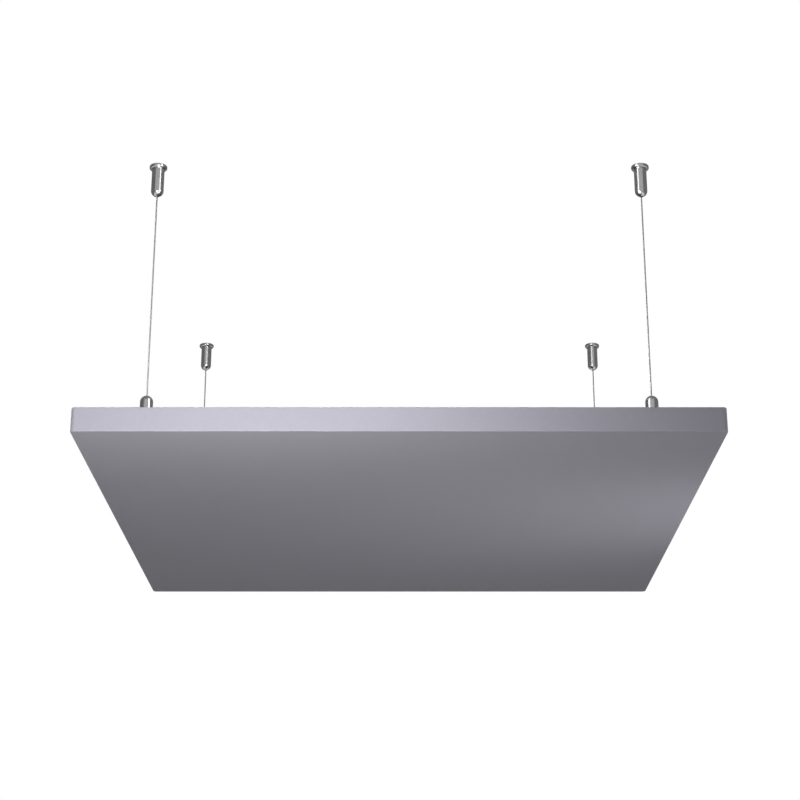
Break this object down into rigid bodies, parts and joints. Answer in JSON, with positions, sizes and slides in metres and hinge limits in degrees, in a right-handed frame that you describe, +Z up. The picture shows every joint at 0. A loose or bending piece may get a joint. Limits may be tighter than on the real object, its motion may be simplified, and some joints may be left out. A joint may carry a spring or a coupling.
{
  "type": "suspended acoustic panel",
  "caption": "Cloth-covered square sound absorber hung level under a ceiling on adjustable steel wires with round-nosed swivel fittings.",
  "frame": {"origin": "on the ceiling plane, midway between the four ceiling fittings", "axes": "+Z up, out of the ceiling fittings' mounting faces; +X to the right and +Y to the rear, seen from the front"},
  "size_m": [0.6, 0.6, 0.3],
  "materials": {
    "cover_fabric": "tightly woven wool-blend cloth, fine plain weave, matt with a soft sheen",
    "fleece": "white needle fleece",
    "absorber": "pressed mineral wool board",
    "back_felt": "black needle felt",
    "frame_wood": "planed, unfinished spruce",
    "fitting_nickel": "turned brass, satin nickel plated",
    "wire_steel": "stranded galvanised steel rope",
    "ball_steel": "turned steel, polished",
    "screw_steel": "zinc plated",
    "seat_nylon": "natural nylon",
    "insert_brass": "turned brass"
  },
  "bodies": {
    "ceiling_fixings": {"ceiling_base_front_left": "fitting_nickel", "ceiling_base_front_right": "fitting_nickel", "ceiling_base_rear_left": "fitting_nickel", "ceiling_base_rear_right": "fitting_nickel", "ceiling_barrel_front_left": "fitting_nickel", "ceiling_barrel_front_right": "fitting_nickel", "ceiling_barrel_rear_left": "fitting_nickel", "ceiling_barrel_rear_right": "fitting_nickel"},
    "top_seat_front_left": {"top_seat_front_left": "seat_nylon"},
    "wire_front_left": {"wire_front_left": "wire_steel", "stop_ball_front_left": "ball_steel"},
    "clamp_front_left": {"wire_clamp_front_left": "ball_steel", "clamp_screw_front_left": "screw_steel"},
    "top_seat_front_right": {"top_seat_front_right": "seat_nylon"},
    "wire_front_right": {"wire_front_right": "wire_steel", "stop_ball_front_right": "ball_steel"},
    "clamp_front_right": {"wire_clamp_front_right": "ball_steel", "clamp_screw_front_right": "screw_steel"},
    "top_seat_rear_left": {"top_seat_rear_left": "seat_nylon"},
    "wire_rear_left": {"wire_rear_left": "wire_steel", "stop_ball_rear_left": "ball_steel"},
    "clamp_rear_left": {"wire_clamp_rear_left": "ball_steel", "clamp_screw_rear_left": "screw_steel"},
    "top_seat_rear_right": {"top_seat_rear_right": "seat_nylon"},
    "wire_rear_right": {"wire_rear_right": "wire_steel", "stop_ball_rear_right": "ball_steel"},
    "clamp_rear_right": {"wire_clamp_rear_right": "ball_steel", "clamp_screw_rear_right": "screw_steel"},
    "lower_seat_front_left": {"lower_seat_front_left": "seat_nylon"},
    "panel": {"lower_seat_front_right": "seat_nylon", "lower_seat_rear_left": "seat_nylon", "lower_seat_rear_right": "seat_nylon", "panel_barrel_front_left": "fitting_nickel", "panel_barrel_front_right": "fitting_nickel", "panel_barrel_rear_left": "fitting_nickel", "panel_barrel_rear_right": "fitting_nickel", "panel_base_front_left": "fitting_nickel", "panel_base_front_right": "fitting_nickel", "panel_base_rear_left": "fitting_nickel", "panel_base_rear_right": "fitting_nickel", "wire_tail_front_left": "wire_steel", "wire_tail_front_right": "wire_steel", "wire_tail_rear_left": "wire_steel", "wire_tail_rear_right": "wire_steel", "fabric_cover": "cover_fabric", "face_fleece": "fleece", "frame_rail_front": "frame_wood", "frame_rail_rear": "frame_wood", "frame_rail_left": "frame_wood", "frame_rail_right": "frame_wood", "absorber_core": "absorber", "back_felt": "back_felt", "threaded_inserts": "insert_brass", "staples": "screw_steel", "frame_screws": "screw_steel", "corner_block_front_left": "frame_wood", "corner_block_front_right": "frame_wood", "corner_block_rear_left": "frame_wood", "corner_block_rear_right": "frame_wood"}
  },
  "joints": [
    {"name": "sway_front_back", "type": "hinge", "parent": "ceiling_fixings", "child": "top_seat_front_left", "pos_m": [-0.24, -0.24, -0.0291], "axis": [1, 0, 0], "range_deg": [-8, 8]},
    {"name": "sway_side", "type": "hinge", "parent": "top_seat_front_left", "child": "wire_front_left", "pos_m": [-0.24, -0.24, -0.0291], "axis": [0, 1, 0], "range_deg": [-8, 8]},
    {"name": "height_adjust", "type": "slide", "parent": "wire_front_left", "child": "clamp_front_left", "axis": [0, 0, 1], "range_m": [0, 0.12], "deforming": ["wire_front_left"]},
    {"name": "sway_front_back_front_right", "type": "hinge", "parent": "ceiling_fixings", "child": "top_seat_front_right", "pos_m": [0.24, -0.24, -0.0291], "axis": [1, 0, 0], "range_deg": [-8, 8]},
    {"name": "sway_side_front_right", "type": "hinge", "parent": "top_seat_front_right", "child": "wire_front_right", "pos_m": [0.24, -0.24, -0.0291], "axis": [0, 1, 0], "range_deg": [-8, 8]},
    {"name": "height_adjust_front_right", "type": "slide", "parent": "wire_front_right", "child": "clamp_front_right", "axis": [0, 0, 1], "range_m": [0, 0.12], "deforming": ["wire_front_right"]},
    {"name": "sway_front_back_rear_left", "type": "hinge", "parent": "ceiling_fixings", "child": "top_seat_rear_left", "pos_m": [-0.24, 0.24, -0.0291], "axis": [1, 0, 0], "range_deg": [-8, 8]},
    {"name": "sway_side_rear_left", "type": "hinge", "parent": "top_seat_rear_left", "child": "wire_rear_left", "pos_m": [-0.24, 0.24, -0.0291], "axis": [0, 1, 0], "range_deg": [-8, 8]},
    {"name": "height_adjust_rear_left", "type": "slide", "parent": "wire_rear_left", "child": "clamp_rear_left", "axis": [0, 0, 1], "range_m": [0, 0.12], "deforming": ["wire_rear_left"]},
    {"name": "sway_front_back_rear_right", "type": "hinge", "parent": "ceiling_fixings", "child": "top_seat_rear_right", "pos_m": [0.24, 0.24, -0.0291], "axis": [1, 0, 0], "range_deg": [-8, 8]},
    {"name": "sway_side_rear_right", "type": "hinge", "parent": "top_seat_rear_right", "child": "wire_rear_right", "pos_m": [0.24, 0.24, -0.0291], "axis": [0, 1, 0], "range_deg": [-8, 8]},
    {"name": "height_adjust_rear_right", "type": "slide", "parent": "wire_rear_right", "child": "clamp_rear_right", "axis": [0, 0, 1], "range_m": [0, 0.12], "deforming": ["wire_rear_right"]},
    {"name": "lower_swivel_side", "type": "hinge", "parent": "clamp_front_left", "child": "lower_seat_front_left", "pos_m": [-0.24, -0.24, -0.2482], "axis": [0, 1, 0], "range_deg": [-8, 8]},
    {"name": "lower_swivel_front_back", "type": "hinge", "parent": "lower_seat_front_left", "child": "panel", "pos_m": [-0.24, -0.24, -0.2482], "axis": [1, 0, 0], "range_deg": [-8, 8]}
  ],
  "couplings": [
    {"joint": "sway_front_back_front_right", "follows": "sway_front_back", "ratio": 1},
    {"joint": "sway_side_front_right", "follows": "sway_side", "ratio": 1},
    {"joint": "height_adjust_front_right", "follows": "height_adjust", "ratio": 1},
    {"joint": "sway_front_back_rear_left", "follows": "sway_front_back", "ratio": 1},
    {"joint": "sway_side_rear_left", "follows": "sway_side", "ratio": 1},
    {"joint": "height_adjust_rear_left", "follows": "height_adjust", "ratio": 1},
    {"joint": "sway_front_back_rear_right", "follows": "sway_front_back", "ratio": 1},
    {"joint": "sway_side_rear_right", "follows": "sway_side", "ratio": 1},
    {"joint": "height_adjust_rear_right", "follows": "height_adjust", "ratio": 1},
    {"joint": "lower_swivel_side", "follows": "sway_side", "ratio": -1},
    {"joint": "lower_swivel_front_back", "follows": "sway_front_back", "ratio": -1}
  ]
}
